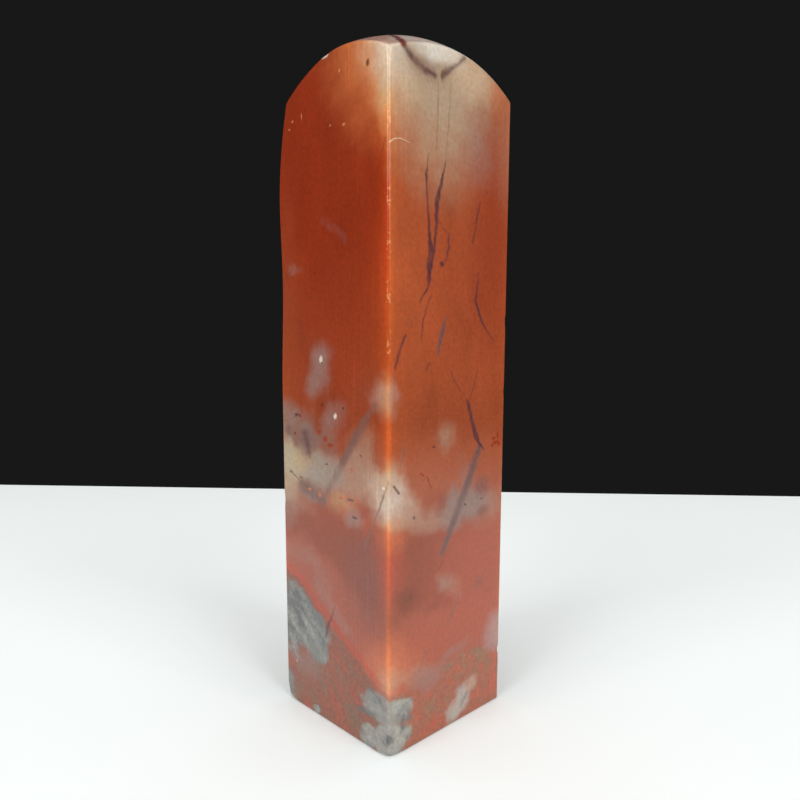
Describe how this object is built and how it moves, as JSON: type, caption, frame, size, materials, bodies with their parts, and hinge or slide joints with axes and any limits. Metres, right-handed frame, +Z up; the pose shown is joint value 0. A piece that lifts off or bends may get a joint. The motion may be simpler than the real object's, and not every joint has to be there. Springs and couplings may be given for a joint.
{
  "type": "seal stamp",
  "caption": "Square upright seal stamp of one natural polished red stone with cream and grey zones, a low domed top and an uncarved flat seal face.",
  "frame": {"origin": "centre of the flat seal face that the stone stands on", "axes": "+Z up along the stone, -Y out of the front face, +X out of the right face"},
  "size_m": [0.024, 0.024, 0.0974],
  "materials": {
    "red_stone": "polished natural stone, orange red with cream and grey zones, faintly translucent at the edges"
  },
  "bodies": {
    "root": {"seal_stone": "red_stone"}
  },
  "joints": []
}
